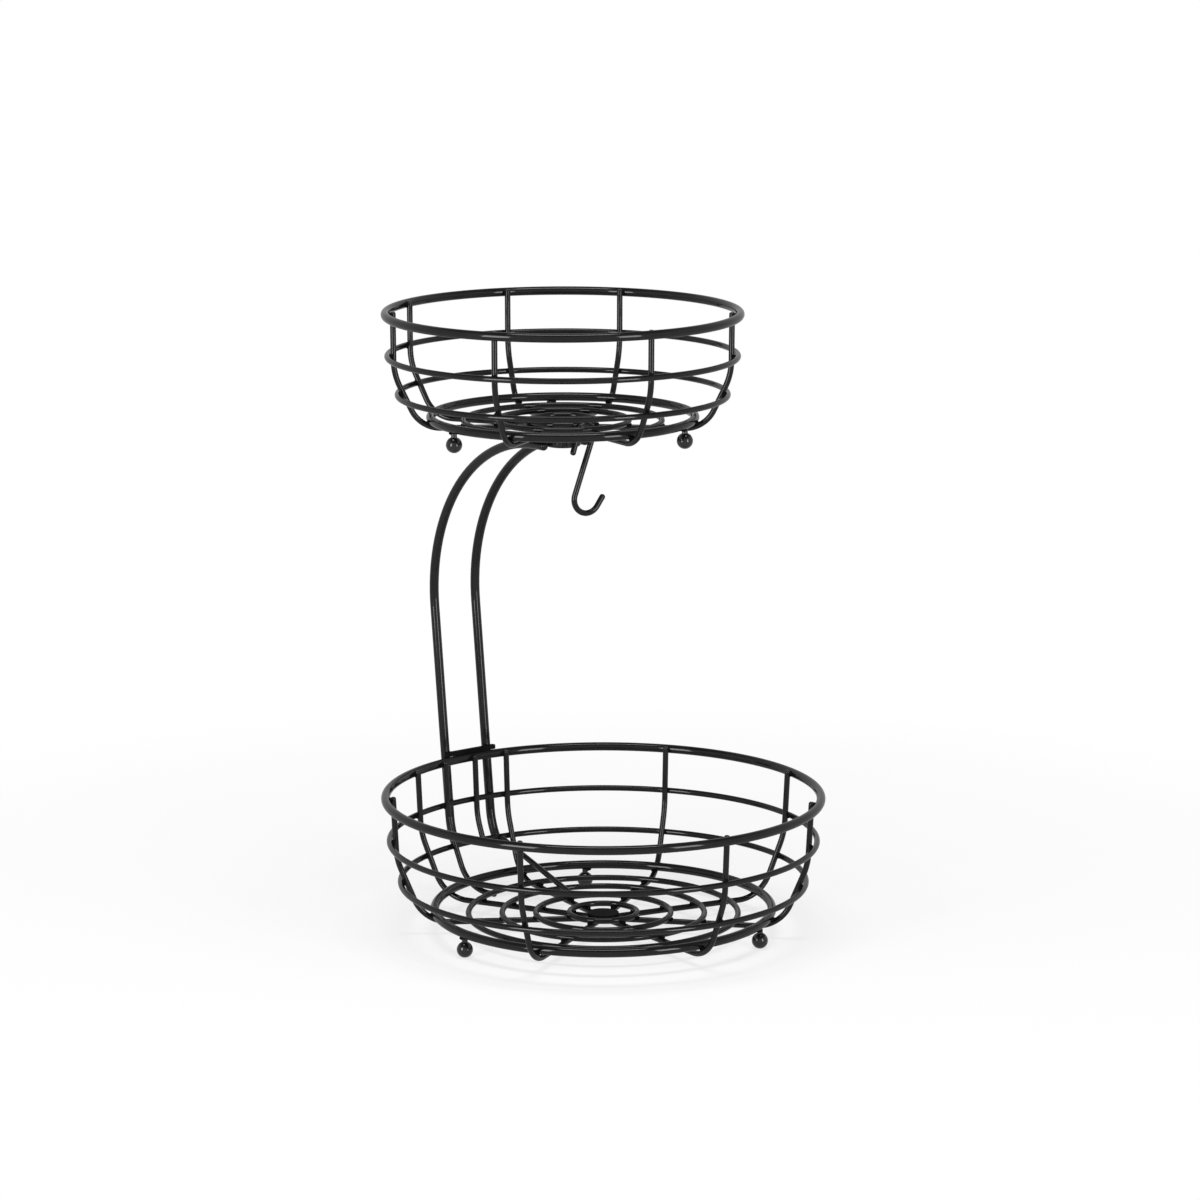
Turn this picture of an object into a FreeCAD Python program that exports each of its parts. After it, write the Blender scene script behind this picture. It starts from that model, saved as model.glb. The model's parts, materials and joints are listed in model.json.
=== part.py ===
import FreeCAD, Part
import math
import os
import Sketcher

# Two round wire baskets, one above the other, on a post of two bent rods, with an S-hook under the upper
# one. +Z is up, the feet stand on z = 0 and the post is at the back, at +Y. The origin is midway between
# the front of the lower rim and the back of the post.

Vector = FreeCAD.Vector

# Driving sizes: millimetres, degrees where a name ends in turn or lean, a plain number for count and share.
SIZES = {
    # wire stock, and the gap left between two wires that are welded side by side
    "rim_wire": 6.0,
    "thin_wire": 4.0,
    "rod_diameter": 6.4,
    "weld_gap": 0.1,
    "end_round_share": 0.35,
    # ball feet, turned with a short neck and a small flat to stand on
    "foot_ball": 11.0,
    "foot_neck_diameter": 4.0,
    "foot_neck_length": 2.5,
    "foot_flat_diameter": 3.0,
    "foot_count": 3,
    "foot_turn_share": 0.159,
    # how far the ribs stand above the rim's centre
    "rib_tip_rise": 2.6,
    # lower basket: radii to the wire's centre, rises above the centre of the floor wires
    "lower_rim_radius": 148.0,
    "lower_rim_rise": 85.8,
    "lower_upper_hoop_inset": 2.5,
    "lower_upper_hoop_rise": 56.0,
    "lower_lower_hoop_rise": 27.5,
    "lower_shoulder_rise": 52.3,
    "lower_shoulder_bend": 45.0,
    "lower_flank_lean": 22.5,
    "lower_base_bend": 26.0,
    "lower_base_ring_turn": 29.0,
    "lower_base_ring_count": 5,
    "lower_disc_lap": 2.4,
    "lower_disc_thickness": 2.0,
    # upper basket
    "upper_rim_radius": 119.5,
    "upper_rim_rise": 76.8,
    "upper_upper_hoop_inset": 1.2,
    "upper_upper_hoop_rise": 48.4,
    "upper_lower_hoop_rise": 22.2,
    "upper_shoulder_rise": 46.7,
    "upper_shoulder_bend": 43.0,
    "upper_flank_lean": 25.5,
    "upper_base_bend": 22.0,
    "upper_base_ring_turn": 24.0,
    "upper_base_ring_count": 4,
    "upper_disc_lap": 7.8,
    "upper_disc_thickness": 3.0,
    # post rods, and the bar across them on the lower rim
    "rod_spacing": 36.0,
    "arm_height": 331.8,
    "arm_length": 9.0,
    "arm_overrun": 4.0,
    "post_top_bend": 117.0,
    "post_foot_bend": 46.0,
    "post_foot_inset": 4.7,
    "post_foot_drop": 2.0,
    "bar_side_lap": 0.3,
    "bar_depth": 3.0,
    "bar_height": 3.0,
    # wires that back the rods from inside the lower basket: left, middle, and straight on the right
    "left_backing_turn_share": 0.2815,
    "left_backing_run": 8.0,
    "middle_backing_drop": 2.0,
    "right_backing_turn_share": 0.230,
    "right_backing_ring_count": 2,
    "right_backing_overrun": 4.0,
    # mounting plate, bolt and thumb nut
    "plate_side_lap": 1.8,
    "plate_length": 34.0,
    "plate_front": 13.0,
    "plate_thickness": 3.0,
    "plate_corner": 4.0,
    "bolt_diameter": 6.0,
    "bolt_hole_clearance": 0.2,
    "bolt_head_diameter": 11.0,
    "bolt_head_height": 3.0,
    "bolt_head_round": 1.2,
    "bolt_grip": 3.2,
    "nut_arm_gap": 2.3,
    "nut_floor": 1.1,
    "nut_bore_end_gap": 0.7,
    "nut_bore_clearance": 0.05,
    "nut_seat_gap": 0.3,
    "nut_edge_round": 2.2,
    "nut_flute_radius": 1.5,
    "nut_flute_bite": 0.8,
    "nut_flute_count": 16,
    # S-hook over one front rib of the upper basket's floor
    "hook_wire": 4.0,
    "hook_ring_share": 0.275,
    "hook_hang_gap": 0.3,
    "hook_play": 1.65,
    "hook_seat_lean": 46.7,
    "hook_bowl_radius": 9.8,
    "hook_bowl_drop": 45.7,
    "hook_bowl_shift": 1.9,
    "hook_tip_length": 9.0,
    "hook_tip_lean": 35.0,
    "hook_tail_length": 16.5,
    "hook_tail_lean": 17.0,
    "hook_end_round_share": 0.45,
}

# Where each rib stands, as a share of a full turn from the right. The hook hangs on one of the upper ones.
hook_rib_share = -0.273
rib_shares = {
    "lower": (-0.035, 0.091, 0.221, 0.319, 0.406, -0.421, -0.263, -0.139),
    "upper": (0.086, 0.197, 0.326, 0.406, -0.421, hook_rib_share, -0.126),
}

doc = FreeCAD.newDocument("tiered_wire_basket")


def fill_sheet(name, values):
    """A spreadsheet of plain numbers, one alias to a row."""
    sheet = doc.addObject("Spreadsheet::Sheet", name)
    for row, (alias, value) in enumerate(values.items(), start=1):
        sheet.set(f"A{row}", alias)
        sheet.set(f"B{row}", repr(value))
        sheet.setAlias(f"B{row}", alias)
    return sheet


sizes = fill_sheet("sizes", SIZES)
doc.recompute()


def size(alias):
    return float(sizes.get(alias))


def count_of(alias):
    return int(size(alias))


def toward(degrees):
    """The unit vector at an angle from a sketch's own X axis."""
    angle = math.radians(degrees)
    return Vector(math.cos(angle), math.sin(angle), 0)


# The layers of each basket's floor and of the stack that carries the upper basket, from the ground up.
gap = size("weld_gap")
thin = size("thin_wire")
rim_wire = size("rim_wire")
rod_radius = size("rod_diameter") / 2
hug = (rim_wire + thin) / 2 + gap
stack = thin + gap
foot_ball = size("foot_ball") / 2
foot_neck = size("foot_neck_diameter") / 2
foot_flat = size("foot_flat_diameter") / 2
foot_middle = math.sqrt(foot_ball ** 2 - foot_flat ** 2)
foot_height = foot_middle + math.sqrt(foot_ball ** 2 - foot_neck ** 2) + size("foot_neck_length")
lower_base_height = foot_height + gap + rim_wire / 2
plate_bottom = size("arm_height") + rod_radius + gap
disc_bottom = plate_bottom + size("plate_thickness") + gap
disc_top = disc_bottom + size("upper_disc_thickness")
upper_floor_height = disc_top + gap + thin / 2


def ring_rise(name):
    """How far a base ring that rests in its ribs' base bend is above the centre of the floor wires."""
    bend = size(f"{name}_base_bend")
    return bend - (bend - hug) * math.cos(math.radians(size(f"{name}_base_ring_turn")))


lower_floor_height = lower_base_height - ring_rise("lower")


def closest_turn(shares):
    """The turn between the two ribs of a basket that stand closest."""
    turns = sorted(share % 1 for share in shares)
    return 360 * min((after - turn) % 1 for turn, after in zip(turns, turns[1:] + turns[:1]))


# The ribs' inner ends stop where the two that stand closest come to lie side by side.
least_turn = min(closest_turn(shares) for shares in rib_shares.values())
rib_end = stack / (2 * math.sin(math.radians(least_turn / 2)))


class Basket:
    """One basket's levels, and the line that its ribs follow in a plane through the axis."""

    def __init__(self, name, floor_height, setback):
        self.name = name
        self.setback = setback
        self.floor_height = floor_height
        self.ring_count = count_of(f"{name}_base_ring_count")
        self.bend = size(f"{name}_shoulder_bend")
        self.base_bend = size(f"{name}_base_bend")
        self.rim_radius = size(f"{name}_rim_radius")
        self.rim_height = self.level("rim")
        self.hoop_radius = self.rim_radius - size(f"{name}_upper_hoop_inset")
        self.hoop_height = self.level("upper_hoop")
        self.find_wall()
        self.find_flank()

    def level(self, part):
        return self.floor_height + size(f"{self.name}_{part}_rise")

    def find_wall(self):
        """The wall is the straight line that touches the rim and the upper hoop from inside."""
        across = self.rim_radius - self.hoop_radius
        up = self.rim_height - self.hoop_height
        turn = math.degrees(math.atan2(across, up))
        self.lean = turn - math.degrees(math.asin((hug - stack) / math.hypot(across, up)))
        self.spread = math.tan(math.radians(self.lean))
        self.wall_radius = self.rim_radius - hug / math.cos(math.radians(self.lean))
        self.tip = self.on_wall(self.rim_height + size("rib_tip_rise"))
        self.shoulder = self.on_wall(self.level("shoulder"))
        self.bend_centre = self.shoulder - toward(-self.lean) * self.bend

    def on_wall(self, height):
        return Vector(self.wall_radius + (height - self.rim_height) * self.spread, height, 0)

    def find_flank(self):
        """The flank is the straight line from the shoulder bend to the bend that holds the base ring."""
        self.slope = -size(f"{self.name}_flank_lean")
        outward = toward(self.slope)
        self.leave = self.bend_centre + outward * self.bend
        centre_height = self.floor_height + self.base_bend
        inset = self.base_bend + (centre_height - self.leave.y) * outward.y
        self.base_centre = Vector(self.leave.x - inset / outward.x, centre_height, 0)
        self.meet = self.base_centre + outward * self.base_bend
        rest = toward(size(f"{self.name}_base_ring_turn") - 90) * (self.base_bend - hug)
        self.base_radius = self.base_centre.x + rest.x
        self.base_height = self.base_centre.y + rest.y

    def on_flank(self, height, reach=0.0):
        """The point at this height on a line that runs a given reach outside the flank."""
        foot = self.meet + toward(self.slope) * reach
        return Vector(foot.x - (height - foot.y) * math.tan(math.radians(self.slope)), height, 0)

    def outside(self, height, reach):
        """The radius of a hoop at this height, its centre a given reach outside the shoulder or flank."""
        bend = self.bend + reach
        rise = height - self.bend_centre.y
        if rise > bend * math.sin(math.radians(self.slope)):
            return self.bend_centre.x + math.sqrt(bend ** 2 - rise ** 2)
        return self.on_flank(height, reach).x

    def lower_hoop(self):
        return self.outside(self.level("lower_hoop"), stack)

    def placement(self, turn=0.0):
        return FreeCAD.Placement(Vector(0, self.setback, 0), FreeCAD.Rotation(Vector(0, 0, 1), turn))


# The post: each rod touches the lower rim from behind and leans in to the first of two stops, the upper
# hoop or the inset from which its foot bends in to the lower hoop.
rod_side = size("rod_spacing") / 2
ground = Basket("lower", lower_floor_height, 0.0)


def behind(radius, wire):
    """How far behind the axis a rod's centre is when the rod touches a ring from outside."""
    return math.sqrt((radius + wire / 2 + gap + rod_radius) ** 2 - rod_side ** 2)


at_rim = Vector(behind(ground.rim_radius, rim_wire), ground.rim_height, 0)
at_upper = Vector(behind(ground.hoop_radius, thin), ground.hoop_height, 0)
at_lower = Vector(behind(ground.lower_hoop(), thin), ground.level("lower_hoop"), 0)
at_lower.x += size("post_foot_inset")
post_spread = min((at_rim.x - stop.x) / (at_rim.y - stop.y) for stop in (at_upper, at_lower))
post_lean = math.degrees(math.atan(post_spread))
top_bend_centre = Vector(0, size("arm_height") - size("post_top_bend"), 0)
top_bend_centre.x = (at_rim.x + (top_bend_centre.y - at_rim.y) * post_spread
                     - size("post_top_bend") / math.cos(math.radians(post_lean)))

# The foot bend's centre runs beside the leaning rod and stops where the bent rod just touches the lower
# hoop.
hoop_back = Vector(math.sqrt(ground.lower_hoop() ** 2 - rod_side ** 2), ground.level("lower_hoop"), 0)
hoop_reach = size("post_foot_bend") - thin / 2 - gap - rod_radius
beside_rod = at_rim - toward(-post_lean) * size("post_foot_bend")
down_rod = toward(-90 - post_lean)
to_hoop = hoop_back - beside_rod
along = to_hoop.dot(down_rod)
aside = (to_hoop - down_rod * along).Length
foot_bend_centre = beside_rod + down_rod * (along - math.sqrt(hoop_reach ** 2 - aside ** 2))
foot_end_height = ground.level("lower_hoop") - size("post_foot_drop")
foot_end_turn = math.degrees(math.asin((foot_end_height - foot_bend_centre.y) / size("post_foot_bend")))

# The whole part is centred between the front of the lower rim and the back of the post.
front_reach = ground.rim_radius + rim_wire / 2
back_reach = top_bend_centre.x + size("post_top_bend") + rod_radius
lower_axis = (front_reach - back_reach) / 2
arm_front = top_bend_centre.x - size("arm_length")
upper_axis = lower_axis + arm_front + size("arm_overrun")
lower = Basket("lower", lower_floor_height, lower_axis)
upper = Basket("upper", upper_floor_height, upper_axis)

# The nut keeps clear of the arms beside it.
nut_radius = rod_side - rod_radius - size("nut_arm_gap")
nut_bore_depth = size("bolt_grip") + size("nut_bore_end_gap")
nut_height = nut_bore_depth + size("nut_floor")

# The S-hook hangs between the two smallest rings. Its sketch has the rib that it hangs on at zero.
hook_out = (1 + size("hook_ring_share")) * upper.base_radius / upper.ring_count
hook_loop_radius = (thin + size("hook_wire")) / 2 + size("hook_hang_gap") + size("hook_play")
hook_loop = toward(size("hook_seat_lean") - 90) * size("hook_play")
hook_bowl = Vector(size("hook_bowl_shift"), -size("hook_bowl_drop"), 0)
between = hook_bowl - hook_loop
hook_cross = math.degrees(math.acos((hook_loop_radius + size("hook_bowl_radius")) / between.Length))
hook_lean = math.degrees(math.atan2(between.y, between.x)) + hook_cross

# Three wires back the rods. The left one is bent like a rib and stops just past the base bend, the middle
# one ends below the lower hoop, and the right one runs straight from the lower hoop to a ring of the floor.
left_backing_end = lower.base_centre.x - size("left_backing_run")
middle_end = lower.on_flank(lower.level("lower_hoop") - size("middle_backing_drop"))
hoop_point = Vector(lower.lower_hoop(), lower.level("lower_hoop"), 0)
rest_radius = lower.base_radius * count_of("right_backing_ring_count") / lower.ring_count
from_rest = hoop_point - Vector(rest_radius, lower.floor_height + stack, 0)
right_lean = math.degrees(math.atan2(from_rest.y, from_rest.x) - math.asin(stack / from_rest.Length))
right_length = math.sqrt(from_rest.Length ** 2 - stack ** 2)
right_outer = hoop_point - toward(right_lean) * (thin / 2 + gap)
right_inner = hoop_point - toward(right_lean) * (right_length + size("right_backing_overrun"))

DERIVED = {
    "ring_lift": stack,
    "rib_end": rib_end,
    "foot_height": foot_height,
    "left_backing_end": left_backing_end,
    "right_inner_radius": right_inner.x,
    "right_inner_height": right_inner.y,
    "right_outer_radius": right_outer.x,
    "right_outer_height": right_outer.y,
    "middle_end_radius": middle_end.x,
    "middle_end_height": middle_end.y,
    "plate_bottom": plate_bottom,
    "disc_bottom": disc_bottom,
    "disc_top": disc_top,
    "arm_front": arm_front,
    "top_bend_back": top_bend_centre.x,
    "foot_bend_back": foot_bend_centre.x,
    "foot_bend_height": foot_bend_centre.y,
    "foot_end_height": foot_end_height,
    "nut_radius": nut_radius,
    "nut_bore_depth": nut_bore_depth,
    "nut_height": nut_height,
    "hook_loop_radius": hook_loop_radius,
    "hook_loop_shift": hook_loop.x,
    "hook_loop_sag": -hook_loop.y,
}
for basket in (lower, upper):
    DERIVED[f"{basket.name}_base_height"] = basket.base_height
    DERIVED[f"{basket.name}_base_radius"] = basket.base_radius
    DERIVED[f"{basket.name}_base_centre"] = basket.base_centre.x
    DERIVED[f"{basket.name}_floor_height"] = basket.floor_height
    DERIVED[f"{basket.name}_lower_hoop_radius"] = basket.lower_hoop()
    DERIVED[f"{basket.name}_shoulder_radius"] = basket.shoulder.x
    DERIVED[f"{basket.name}_tip_radius"] = basket.tip.x
worked = fill_sheet("worked", DERIVED)
doc.recompute()

START, END, CENTRE = range(1, 4)
ORIGIN = -START
nodes = []
wires = []


def new_body(label):
    body = doc.addObject("PartDesign::Body", label)
    body.Label = label
    nodes.append(body)
    return body


def new_sketch(body, name, role, offset=None):
    """A sketch on one of its body's origin planes, or moved from it along that plane's directions."""
    sketch = body.newObject("Sketcher::SketchObject", name)
    plane = next(item for item in body.Origin.OriginFeatures if item.Role == role)
    sketch.AttachmentSupport = [(plane, "")]
    sketch.MapMode = "FlatFace"
    if offset is not None:
        sketch.AttachmentOffset = offset
    return sketch


def step(across, up, out, axis=Vector(0, 0, 1), turn=0.0):
    """A move along a plane's two directions and its normal, with a turn about an axis."""
    return FreeCAD.Placement(Vector(across, up, out), FreeCAD.Rotation(axis, turn))


def add_line(sketch, first, last):
    return sketch.addGeometry(Part.LineSegment(first, last), False)


def add_arc(sketch, centre, radius, low_turn, high_turn):
    circle = Part.Circle(centre, Vector(0, 0, 1), radius)
    arc = Part.ArcOfCircle(circle, math.radians(low_turn), math.radians(high_turn))
    return sketch.addGeometry(arc, False)


def rule(sketch, *constraint):
    return sketch.addConstraint(Sketcher.Constraint(*constraint))


def bind(sketch, name, expression, *constraint):
    """Adds a dimension to a sketch and ties it to the sheets."""
    sketch.renameConstraint(rule(sketch, *constraint), name)
    sketch.setExpression(f"Constraints.{name}", expression)


def bind_point(sketch, name, geometry, point, across=None, up=None):
    """Ties a point's distances from the origin to the sheets, each given as an expression and its value."""
    for way, pair in (("DistanceX", across), ("DistanceY", up)):
        if pair is None:
            continue
        expression, value = pair
        if value < 0:
            bind(sketch, f"{name}_{way}", f"-({expression})", way, geometry, point, ORIGIN, START, -value)
        else:
            bind(sketch, f"{name}_{way}", expression, way, ORIGIN, START, geometry, point, value)


def add_circle(sketch, name, expression, radius, centre=Vector()):
    index = sketch.addGeometry(Part.Circle(centre, Vector(0, 0, 1), radius), False)
    bind(sketch, name, expression, "Radius", index, radius)
    return index


def bent_wire(body, path, role, start, wire, round_share="end_round_share"):
    """Sweeps a round section along a path; start takes the section from a plane to the path's start."""
    section = new_sketch(body, body.Name + "_section", role, start)
    add_circle(section, "wire_radius", f"sizes.{wire} / 2", size(wire) / 2)
    pipe = body.newObject("PartDesign::AdditivePipe", body.Name + "_pipe")
    pipe.Profile = section
    pipe.Spine = path
    wires.append((body, pipe, f"sizes.{wire} * sizes.{round_share}"))


def round_ends():
    """Eases the edge of each flat end of the bent wires."""
    for body, pipe, expression in wires:
        edges = pipe.Shape.Edges
        ends = [face for face in pipe.Shape.Faces if isinstance(face.Surface, Part.Plane)]
        names = [f"Edge{index}" for index, edge in enumerate(edges, start=1)
                 if any(edge.isSame(other) for face in ends for other in face.Edges)]
        ease = body.newObject("PartDesign::Fillet", body.Name + "_ends")
        ease.Base = (pipe, names)
        ease.setExpression("Radius", expression)


def ring(label, basket, radius_expression, wire, height_expression):
    torus = doc.addObject("Part::Torus", label)
    torus.Label = label
    torus.Placement = basket.placement()
    torus.setExpression("Radius1", radius_expression)
    torus.setExpression("Radius2", f"sizes.{wire} / 2")
    torus.setExpression("Placement.Base.z", height_expression)
    nodes.append(torus)


def rib(label, basket, turn, end_expression, end_radius):
    """A wire that runs down the wall and the flank, round under the base ring and in towards the axis."""
    name = basket.name
    body = new_body(label)
    path = new_sketch(body, label + "_path", "XZ_Plane")
    inner_end = Vector(end_radius, basket.floor_height, 0)
    floor = add_line(path, inner_end, basket.base_centre - Vector(0, basket.base_bend, 0))
    base = add_arc(path, basket.base_centre, basket.base_bend, -90, basket.slope)
    flank = add_line(path, basket.meet, basket.leave)
    shoulder = add_arc(path, basket.bend_centre, basket.bend, basket.slope, -basket.lean)
    wall = add_line(path, basket.shoulder, basket.tip)
    for first, second in ((floor, base), (base, flank), (flank, shoulder), (shoulder, wall)):
        rule(path, "Tangent", first, END, second, START)
    rule(path, "Horizontal", floor)
    bind(path, "base_bend", f"sizes.{name}_base_bend", "Radius", base, basket.base_bend)
    bind(path, "shoulder_bend", f"sizes.{name}_shoulder_bend", "Radius", shoulder, basket.bend)
    bind_point(path, "inner_end", floor, START, (end_expression, end_radius))
    bind_point(path, "base", base, CENTRE, (f"worked.{name}_base_centre", basket.base_centre.x),
               (f"worked.{name}_floor_height + sizes.{name}_base_bend", basket.base_centre.y))
    bind_wall(path, basket, wall)
    bent_wire(body, path, "YZ_Plane", step(0, basket.floor_height, end_radius), "thin_wire")
    body.Placement = basket.placement(turn)


def bind_wall(path, basket, wall):
    name = basket.name
    floor = f"worked.{name}_floor_height"
    bind_point(path, "shoulder", wall, START, (f"worked.{name}_shoulder_radius", basket.shoulder.x),
               (f"{floor} + sizes.{name}_shoulder_rise", basket.shoulder.y))
    bind_point(path, "tip", wall, END, (f"worked.{name}_tip_radius", basket.tip.x),
               (f"{floor} + sizes.{name}_rim_rise + sizes.rib_tip_rise", basket.tip.y))


def short_wire(label, basket, turn):
    """A wire inside the wall only, from the rim to just below the lower hoop."""
    body = new_body(label)
    path = new_sketch(body, label + "_path", "XZ_Plane")
    flank = add_line(path, middle_end, basket.leave)
    shoulder = add_arc(path, basket.bend_centre, basket.bend, basket.slope, -basket.lean)
    wall = add_line(path, basket.shoulder, basket.tip)
    rule(path, "Tangent", flank, END, shoulder, START)
    rule(path, "Tangent", shoulder, END, wall, START)
    bind(path, "shoulder_bend", f"sizes.{basket.name}_shoulder_bend", "Radius", shoulder, basket.bend)
    bind_point(path, "flank_end", flank, START, ("worked.middle_end_radius", middle_end.x),
               ("worked.middle_end_height", middle_end.y))
    bind_wall(path, basket, wall)
    start = step(basket.tip.x, 0, basket.tip.y, Vector(0, 1, 0), basket.lean)
    bent_wire(body, path, "XY_Plane", start, "thin_wire")
    body.Placement = basket.placement(turn)


def straight_wire(label, basket, turn):
    """A straight wire from the lower hoop down to the top of an inner ring."""
    body = new_body(label)
    path = new_sketch(body, label + "_path", "XZ_Plane")
    line = add_line(path, right_inner, right_outer)
    bind_point(path, "inner", line, START, ("worked.right_inner_radius", right_inner.x),
               ("worked.right_inner_height", right_inner.y))
    bind_point(path, "outer", line, END, ("worked.right_outer_radius", right_outer.x),
               ("worked.right_outer_height", right_outer.y))
    start = step(0, right_inner.y, right_inner.x, Vector(1, 0, 0), -right_lean)
    bent_wire(body, path, "YZ_Plane", start, "thin_wire")
    body.Placement = basket.placement(turn)


def foot(label, basket, turn):
    """A ball with a neck above and a small flat below, turned in one piece, under the base ring."""
    body = new_body(label)
    sketch = new_sketch(body, label + "_profile", "XZ_Plane")
    middle = Vector(0, foot_middle, 0)
    flat_turn = -math.degrees(math.acos(foot_flat / foot_ball))
    neck_turn = math.degrees(math.acos(foot_neck / foot_ball))
    shoulder = middle + toward(neck_turn) * foot_ball
    sole = add_line(sketch, Vector(), Vector(foot_flat, 0, 0))
    side = add_arc(sketch, middle, foot_ball, flat_turn, neck_turn)
    stem = add_line(sketch, shoulder, Vector(foot_neck, foot_height, 0))
    seat = add_line(sketch, Vector(foot_neck, foot_height, 0), Vector(0, foot_height, 0))
    axis = add_line(sketch, Vector(0, foot_height, 0), Vector())
    for first, second in ((sole, side), (side, stem), (stem, seat), (seat, axis), (axis, sole)):
        rule(sketch, "Coincident", first, END, second, START)
    rule(sketch, "Coincident", sole, START, ORIGIN, START)
    rule(sketch, "Horizontal", sole)
    rule(sketch, "Horizontal", seat)
    rule(sketch, "Vertical", stem)
    rule(sketch, "Vertical", axis)
    rule(sketch, "PointOnObject", side, CENTRE, axis)
    bind(sketch, "ball", "sizes.foot_ball / 2", "Radius", side, foot_ball)
    bind(sketch, "flat", "sizes.foot_flat_diameter / 2", "DistanceX", sole, START, sole, END, foot_flat)
    bind(sketch, "neck", "sizes.foot_neck_diameter / 2", "DistanceX", seat, END, seat, START, foot_neck)
    bind(sketch, "height", "worked.foot_height", "DistanceY", axis, END, axis, START, foot_height)
    revolve(body, sketch)
    lift = basket.base_height - rim_wire / 2 - gap - foot_height
    body.Placement = basket.placement(turn).multiply(step(basket.base_radius, 0, lift))


def revolve(body, sketch):
    turned_part = body.newObject("PartDesign::Revolution", body.Name + "_turned")
    turned_part.Profile = sketch
    turned_part.ReferenceAxis = (sketch, ["V_Axis"])


hole_radius = size("bolt_diameter") / 2 + size("bolt_hole_clearance")
HOLE = "sizes.bolt_diameter / 2 + sizes.bolt_hole_clearance"


def pad(body, sketch, expression):
    plate = body.newObject("PartDesign::Pad", body.Name + "_pad")
    plate.Profile = sketch
    plate.setExpression("Length", expression)
    return plate


def disc(basket, bottom, with_hole):
    """The round plate at the middle of a basket's floor."""
    label = f"{basket.name}_centre_disc"
    body = new_body(label)
    sketch = new_sketch(body, label + "_outline", "XY_Plane", step(0, 0, bottom))
    add_circle(sketch, "edge", f"worked.rib_end + sizes.{basket.name}_disc_lap",
               rib_end + size(f"{basket.name}_disc_lap"))
    if with_hole:
        add_circle(sketch, "hole", HOLE, hole_radius)
    pad(body, sketch, f"sizes.{basket.name}_disc_thickness")
    body.Placement = basket.placement()


def make_basket(basket):
    name = basket.name
    floor = f"worked.{name}_floor_height"
    radius = f"worked.{name}_base_radius"
    rim = f"sizes.{name}_rim_radius"
    ring(f"{name}_rim", basket, rim, "rim_wire", f"{floor} + sizes.{name}_rim_rise")
    ring(f"{name}_upper_hoop", basket, f"{rim} - sizes.{name}_upper_hoop_inset", "thin_wire",
         f"{floor} + sizes.{name}_upper_hoop_rise")
    ring(f"{name}_lower_hoop", basket, f"worked.{name}_lower_hoop_radius", "thin_wire",
         f"{floor} + sizes.{name}_lower_hoop_rise")
    ring(f"{name}_base_ring", basket, radius, "rim_wire", f"worked.{name}_base_height")
    for place in range(1, basket.ring_count):
        ring(f"{name}_inner_ring_{place}", basket, f"{radius} * {place} / sizes.{name}_base_ring_count",
             "thin_wire", f"{floor} + worked.ring_lift")
    for place, share in enumerate(rib_shares[name], start=1):
        rib(f"{name}_rib_{place}", basket, 360 * share, "worked.rib_end", rib_end)
    feet = count_of("foot_count")
    for place in range(feet):
        foot(f"{name}_foot_{place + 1}", basket, 360 * (size("foot_turn_share") + place / feet))


def rod(label, side):
    """One rod of the post, bent in a plane of its own: arm, top bend, leaning post and foot bend."""
    body = new_body(label)
    path = new_sketch(body, label + "_path", "YZ_Plane", step(0, 0, side))
    arm_height = size("arm_height")
    top_radius = size("post_top_bend")
    foot_radius = size("post_foot_bend")
    arm = add_line(path, Vector(arm_front, arm_height, 0), Vector(top_bend_centre.x, arm_height, 0))
    top = add_arc(path, top_bend_centre, top_radius, -post_lean, 90)
    post = add_line(path, top_bend_centre + toward(-post_lean) * top_radius,
                    foot_bend_centre + toward(-post_lean) * foot_radius)
    bend = add_arc(path, foot_bend_centre, foot_radius, foot_end_turn, -post_lean)
    rule(path, "Tangent", arm, END, top, END)
    rule(path, "Tangent", top, START, post, START)
    rule(path, "Tangent", post, END, bend, END)
    rule(path, "Horizontal", arm)
    bind(path, "top_radius", "sizes.post_top_bend", "Radius", top, top_radius)
    bind(path, "foot_radius", "sizes.post_foot_bend", "Radius", bend, foot_radius)
    bind_point(path, "arm", arm, START, ("worked.arm_front", arm_front), ("sizes.arm_height", arm_height))
    bind_point(path, "top", top, CENTRE, ("worked.top_bend_back", top_bend_centre.x))
    bind_point(path, "bend", bend, CENTRE, ("worked.foot_bend_back", foot_bend_centre.x),
               ("worked.foot_bend_height", foot_bend_centre.y))
    bind_point(path, "foot_end", bend, START, None, ("worked.foot_end_height", foot_end_height))
    bent_wire(body, path, "XZ_Plane", step(side, arm_height, -arm_front), "rod_diameter")
    body.Placement = lower.placement()


def cross_bar():
    """A flat bar on top of the lower rim, welded across the front of both rods."""
    bar = doc.addObject("Part::Box", "rim_cross_bar")
    bar.Label = "rim_cross_bar"
    bar.setExpression("Length", "sizes.rod_spacing + sizes.rod_diameter + 2 * sizes.bar_side_lap")
    bar.setExpression("Width", "sizes.bar_depth")
    bar.setExpression("Height", "sizes.bar_height")
    bottom = lower.rim_height + rim_wire / 2 + gap
    rod_front = (at_rim.x + (bottom - at_rim.y) * post_spread
                 - (rod_radius + gap) / math.cos(math.radians(post_lean)))
    left_end = -rod_side - rod_radius - size("bar_side_lap")
    corner = Vector(left_end, rod_front - size("bar_depth"), bottom)
    bar.Placement = lower.placement().multiply(FreeCAD.Placement(corner, FreeCAD.Rotation()))
    nodes.append(bar)


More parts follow.
